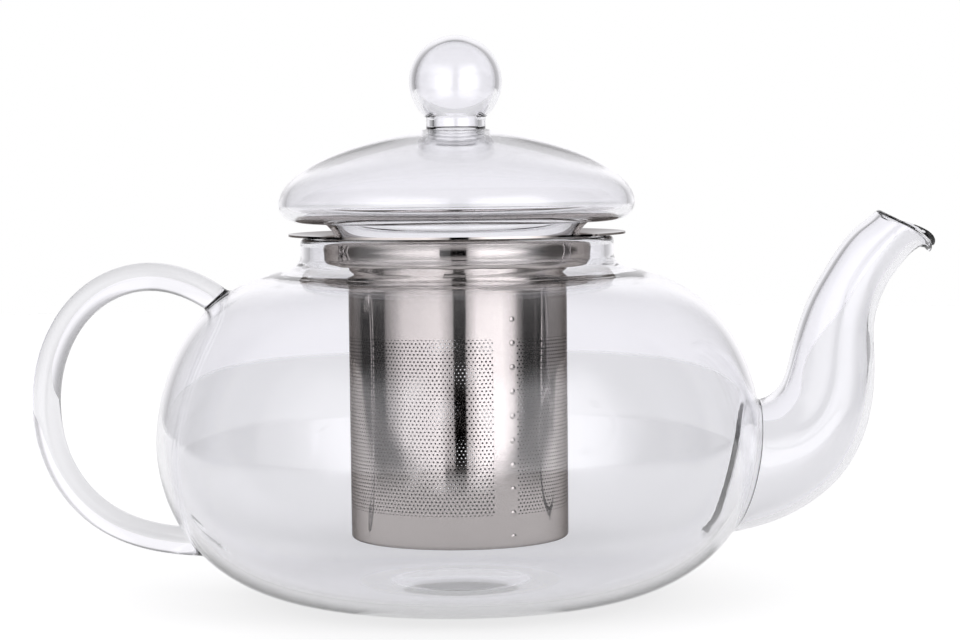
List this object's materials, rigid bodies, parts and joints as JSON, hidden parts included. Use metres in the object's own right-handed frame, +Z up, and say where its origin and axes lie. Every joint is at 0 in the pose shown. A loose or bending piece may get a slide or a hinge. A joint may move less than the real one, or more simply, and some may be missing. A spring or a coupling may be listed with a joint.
{
  "type": "teapot",
  "caption": "Low round glass teapot with a looped rod handle, a swan-neck spout, a lift-out steel tea infuser and a domed glass lid with a ball knob.",
  "frame": {"origin": "on the bowl's axis, in the plane of the foot ring that the pot stands on", "axes": "+Z up along the bowl's axis, +X towards the spout, handle on the -X side"},
  "size_m": [0.2171, 0.145, 0.1357],
  "materials": {
    "clear_glass": "clear blown borosilicate glass, fire polished",
    "polished_steel": "pressed stainless sheet, polished",
    "perforated_steel": "thin stainless sheet with fine holes, bright"
  },
  "bodies": {
    "pot": {"bowl": "clear_glass", "neck_weld": "clear_glass", "neck": "clear_glass", "spout": "clear_glass", "spout_weld": "clear_glass", "handle": "clear_glass", "handle_weld_upper": "clear_glass", "handle_weld_lower": "clear_glass"},
    "infuser": {"infuser_collar": "polished_steel", "infuser_tube": "perforated_steel", "infuser_bottom": "perforated_steel"},
    "lid": {"lid_dome": "clear_glass", "lid_skirt": "clear_glass", "lid_knob": "clear_glass"}
  },
  "joints": [
    {"name": "infuser_lift", "type": "slide", "parent": "pot", "child": "infuser", "axis": [0, 0, 1], "range_m": [0, 0.085]},
    {"name": "lid_lift", "type": "slide", "parent": "infuser", "child": "lid", "axis": [0, 0, 1], "range_m": [0, 0.04]}
  ]
}
